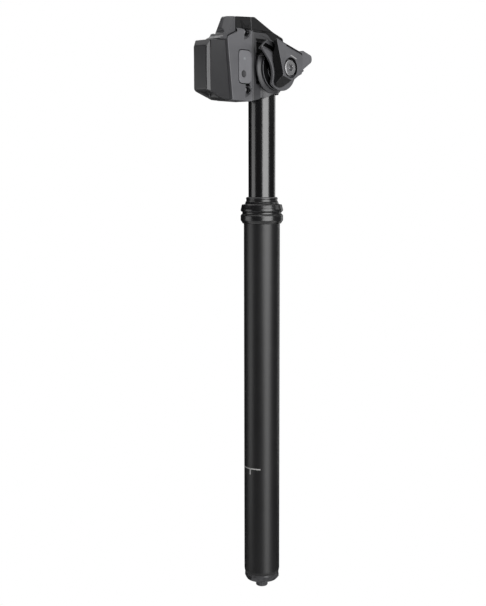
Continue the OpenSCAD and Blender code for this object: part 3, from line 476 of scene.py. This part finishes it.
STEEL = (0.42, 0.42, 0.43)
FINISHES = {
    "lower_tube_black": anodised("lower_tube_black", 0.012, 0.40, TURNED, gloss=0.7, worn=0.1),
    "upper_tube_black": anodised("upper_tube_black", 0.008, 0.22, TURNED, gloss=1.0, coat=0.3, worn=0.0),
    "collar_black": anodised("collar_black", 0.014, 0.26, TURNED, gloss=0.9),
    "head_black": painted("head_black", 0.075, 0.36),
    # The next two are painted shade: darker copies of the head's paint for faces that lie in shade, and
    # near black for the floors of hollows as painted shadow
    "ridge_painted_shade": painted("ridge_painted_shade", 0.016, 0.34, gloss=0.20),
    "hollow_painted_shade": painted("hollow_painted_shade", 0.004, 0.50, gloss=0.08),
    "clamp_black": anodised("clamp_black", 0.142, 0.34, BRUSHED, gloss=0.5),
    "housing_black": moulded("housing_black", 0.160, 0.34, gloss=0.5),
    "latch_black": moulded("latch_black", 0.090, 0.34, gloss=0.4),
    "battery_black": moulded("battery_black", 0.044, 0.30, gloss=0.6),
    "plate_grey": moulded("plate_grey", 0.250, 0.36, scale=3500.0, gloss=0.5),
    "button_black": moulded("button_black", 0.085, 0.40, scale=3500.0),
    "seal_rubber": rubber("seal_rubber", 0.090, 0.5),
    "bumper_rubber": rubber("bumper_rubber", 0.045),
    "bushing_polymer": polymer("bushing_polymer", (0.10, 0.10, 0.11)),
    "cap_alloy": anodised("cap_alloy", 0.035, 0.34, TURNED, gloss=0.8),
    "bare_alloy": bare_metal("bare_alloy", (0.60, 0.61, 0.62), 0.30, TURNED),
    "key_brass": bare_metal("key_brass", (0.55, 0.42, 0.20), 0.32, DRAWN),
    "contact_gold": bare_metal("contact_gold", (0.80, 0.58, 0.22), 0.22, DRAWN),
    "shaft_steel": bare_metal("shaft_steel", (0.50, 0.50, 0.51), 0.20, TURNED),
    "screw_steel": bare_metal("screw_steel", (0.09, 0.09, 0.095), 0.38, TURNED),
    "motor_steel": bare_metal("motor_steel", STEEL, 0.34, TURNED),
    "bolt_steel": bare_metal("bolt_steel", (0.50, 0.50, 0.51), 0.46, BRUSHED),
    "board_green": circuit_green("board_green"),
    "light_lens": lens("light_lens"),
    "cell_wrap": moulded("cell_wrap", 0.10, 0.35, scale=1200.0),
    "mark_white": mark_white("mark_white"),
}


# Softened pieces: each stands for a CAD node whose edges the real part has broken

MERGE = 0.000002
FLAT = math.radians(0.4)
SOFT_ANGLE = math.radians(28)
EDGE_STEPS = 3

# How wide each node's edges are broken, in mm
SOFTENED = {
    "control_housing": 0.5, "head_forging": 0.45, "battery_case": 0.7, "battery_latch": 0.4,
    "button_plate": 0.15, "button": 0.08, "inner_clamp_right": 0.5, "inner_clamp_left": 0.5,
    "outer_clamp_right": 0.35, "outer_clamp_left": 0.35, "clamp_bolt": 0.2, "clamp_nut": 0.2,
    "housing_screws": 0.1, "collar": 0.3, "wiper_seal": 0.25, "lower_tube": 0.3, "end_cap": 0.3,
    "valve_cap": 0.25, "housing_gasket": 0.1,
}

# The forged and moulded nodes take the whole width, and the turned ones only what their short edges leave
FULL_WIDTH = {
    "control_housing", "head_forging", "battery_case", "battery_latch", "button_plate", "button",
    "inner_clamp_right", "inner_clamp_left", "outer_clamp_right", "outer_clamp_left",
}


def apply_all(piece):
    for modifier in list(piece.modifiers):
        bpy.ops.object.modifier_apply(modifier=modifier.name)


def softened(node, width):
    """A copy of a CAD node with its sharp edges rounded over, shaded smooth between them."""
    piece = NODES[node].copy()
    piece.data = NODES[node].data.copy()
    for key in list(piece.keys()):
        del piece[key]
    piece.name = node + "_softened"
    piece.data.name = piece.name
    piece.parent = None
    piece.matrix_world = Matrix.Identity(4)
    scene.collection.objects.link(piece)
    only(piece)
    bpy.ops.object.mode_set(mode="EDIT")
    bpy.ops.mesh.select_all(action="SELECT")
    bpy.ops.mesh.remove_doubles(threshold=MERGE)
    bpy.ops.mesh.dissolve_limited(angle_limit=FLAT)
    bpy.ops.object.mode_set(mode="OBJECT")
    bevel = piece.modifiers.new("broken edges", "BEVEL")
    bevel.limit_method = "ANGLE"
    bevel.angle_limit = SOFT_ANGLE
    bevel.width = width * MM
    bevel.segments = EDGE_STEPS
    bevel.use_clamp_overlap = node not in FULL_WIDTH
    apply_all(piece)
    bpy.ops.object.shade_smooth_by_angle(angle=SOFT_ANGLE)
    weigh = piece.modifiers.new("flat faces stay flat", "WEIGHTED_NORMAL")
    weigh.keep_sharp = True
    apply_all(piece)
    piece.data.materials.clear()
    piece.data.materials.append(FINISHES[SLOT_OF[node]])
    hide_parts(node)
    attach(piece, BODY_OF[node])
    return piece


# Second finishes. The ridge and the brow are painted a deeper black than the sides, as painted shade, and
# the floors of the hollows deeper still, as painted shadow.
# The rules read a face's place in mm from the foot of the head, and its normal.

HEAD_Z = 95.4
RIDGE_UP = 44.6
BROW_UP = 37.5
HOLLOW_Y = 5.6
BOLT_X, BOLT_UP = -2.2, 17.8
HUB_Y = 19.0
RING_R = 15.6
PLATE_POCKET = ((-34.0, -8.35, 4.0), (-22.5, -6.0, 32.0))
WIPER_LIP = 19.0
DOCK_FACING = 0.2
CLAMP_REAR, CLAMP_HEEL = -0.8, -0.5
RING_EDGE = (0.2, 0.9)


def darken(piece, slot, is_dark):
    """Gives the faces that a rule picks another finish; for the ridge, brow, hollows, dock edge and clamp
    sides that finish is painted shade.
    """
    piece.data.materials.append(FINISHES[slot])
    index = len(piece.data.materials) - 1
    for face in piece.data.polygons:
        if is_dark(face.center / MM - Vector((0, 0, HEAD_Z)), face.normal):
            face.material_index = index


def everywhere(place, normal):
    """The latch all over: it is a little darker than the housing that carries it."""
    return True


# Painted shade: the ridge's faces take a darker black for the shade that falls on them
def on_ridge(place, normal):
    return place.z > RIDGE_UP


# Painted shade: the brow's faces take the same darker black
def on_brow(place, normal):
    return place.z > BROW_UP


# Painted shadow: the floor of the hollow beside the bolt boss is painted near black
def in_hollow(place, normal):
    return place.z <= BROW_UP and abs(place.y) < HOLLOW_Y


def on_dock_edge(place, normal):
    """The battery's front edges and the face that meets the housing, painted near black as painted shadow
    in the gap between them.
    """
    return normal.x > DOCK_FACING


def in_plate_pocket(place, normal):
    """The pocket in the housing's right side that the button plate sits in, painted near black as painted
    shadow.
    """
    low, high = PLATE_POCKET
    return all(a < b < c for a, b, c in zip(low, place, high))


def under_lip(place, normal):
    """The wiper below its rubbed lip."""
    return place.z < WIPER_LIP - HEAD_Z


def on_clamp_side(place, normal):
    """The rear and the heel of an outer clamp, painted a deeper black as painted shade."""
    return normal.x < CLAMP_REAR or normal.z < CLAMP_HEEL


def in_clamp_recess(place, normal):
    """The ring and hub behind an inner clamp's flange, painted near black as painted shadow, but not the
    ring's bright broken edge.
    """
    reach = math.hypot(place.x - BOLT_X, place.z - BOLT_UP)
    on_edge = RING_EDGE[0] < abs(normal.y) < RING_EDGE[1]
    return abs(place.y) < HUB_Y and reach < RING_R and not on_edge


# Marks: the plain insertion line on the lower tube, an arc and a tick at its rear

TUBE_R = 13.6
MARK_Z = -187.0
MARK_H = 0.9
MARK_HALF = math.radians(37)
TICK_W, TICK_H = 1.1, 4.6
MARK_PROUD = 0.02
MARK_SIDES = 360


def tube_strip(name, z_low, z_high, half_angle):
    """A thin strip that lies on the rear of the lower tube."""
    bpy.ops.object.select_all(action="DESELECT")
    bpy.ops.mesh.primitive_cylinder_add(
        vertices=MARK_SIDES, radius=TUBE_R * MM, depth=(z_high - z_low) * MM, end_fill_type="NOTHING"
    )
    strip = bpy.context.object
    strip.name = name
    only(strip)
    bpy.ops.object.mode_set(mode="EDIT")
    bpy.ops.mesh.select_all(action="DESELECT")
    bpy.ops.object.mode_set(mode="OBJECT")
    for face in strip.data.polygons:
        face.select = abs(math.atan2(face.center.y, -face.center.x)) > half_angle
    bpy.ops.object.mode_set(mode="EDIT")
    bpy.ops.mesh.delete(type="FACE")
    bpy.ops.object.mode_set(mode="OBJECT")
    strip.data.transform(Matrix.Translation((0, 0, (z_low + z_high) / 2 * MM)))
    wall = strip.modifiers.new("film", "SOLIDIFY")
    wall.thickness = 2 * MARK_PROUD * MM
    wall.offset = 0.0
    apply_all(strip)
    bpy.ops.object.shade_smooth_by_angle(angle=SOFT_ANGLE)
    strip.data.materials.append(FINISHES["mark_white"])
    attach(strip, "lower_post")
    return strip


# The plain white tick on the face of the right clamp

TICK_FROM, TICK_TO = (-2.7, 122.3), (4.1, 119.9)
TICK_FACE_Y = -30.0
TICK_WIDE = 0.55


def clamp_tick():
    """A thin printed bar, laid along the tick's line."""
    ahead = Vector((TICK_TO[0] - TICK_FROM[0], 0, TICK_TO[1] - TICK_FROM[1]))
    start = Vector((TICK_FROM[0], TICK_FACE_Y, TICK_FROM[1]))
    middle = start + ahead / 2
    bpy.ops.object.select_all(action="DESELECT")
    bpy.ops.mesh.primitive_plane_add(size=MM)
    tick = bpy.context.object
    tick.name = "clamp_tick"
    only(tick)
    bpy.ops.object.mode_set(mode="EDIT")
    bpy.ops.mesh.select_all(action="SELECT")
    bpy.ops.mesh.subdivide(number_cuts=3)
    bpy.ops.object.mode_set(mode="OBJECT")
    size = Matrix.Diagonal((ahead.length, TICK_WIDE, 1, 1))
    stand = Matrix.Rotation(math.pi / 2, 4, "X")
    lean = Matrix.Rotation(math.atan2(-ahead.z, ahead.x), 4, "Y")
    tick.data.transform(Matrix.Translation(middle * MM) @ lean @ stand @ size)
    wall = tick.modifiers.new("film", "SOLIDIFY")
    wall.thickness = 2 * MARK_PROUD * MM
    wall.offset = 0.0
    apply_all(tick)
    tick.data.materials.append(FINISHES["mark_white"])
    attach(tick, "right_clamp")


add_camera()
white_world()
light_studio()
build_studio()
for name, node in NODES.items():
    node.data.materials.clear()
    node.data.materials.append(FINISHES[SLOT_OF[name]])
soft = {name: softened(name, width) for name, width in SOFTENED.items()}
darken(soft["battery_latch"], "latch_black", everywhere)
# Painted shade and painted shadow: the ridge, brow, hollows, dock edge and the clamps' sides and recesses
# below (the wiper's second finish aside)
darken(soft["control_housing"], "ridge_painted_shade", on_ridge)
darken(soft["control_housing"], "hollow_painted_shade", in_plate_pocket)
darken(soft["battery_case"], "hollow_painted_shade", on_dock_edge)
darken(soft["wiper_seal"], "collar_black", under_lip)
darken(soft["head_forging"], "ridge_painted_shade", on_brow)
darken(soft["head_forging"], "hollow_painted_shade", in_hollow)
for side in ("right", "left"):
    darken(soft["inner_clamp_" + side], "hollow_painted_shade", in_clamp_recess)
    darken(soft["outer_clamp_" + side], "ridge_painted_shade", on_clamp_side)
tube_strip("insertion_line", MARK_Z - MARK_H / 2, MARK_Z + MARK_H / 2, MARK_HALF)
tube_strip("insertion_tick", MARK_Z - TICK_H, MARK_Z, TICK_W / 2 / TUBE_R)
clamp_tick()
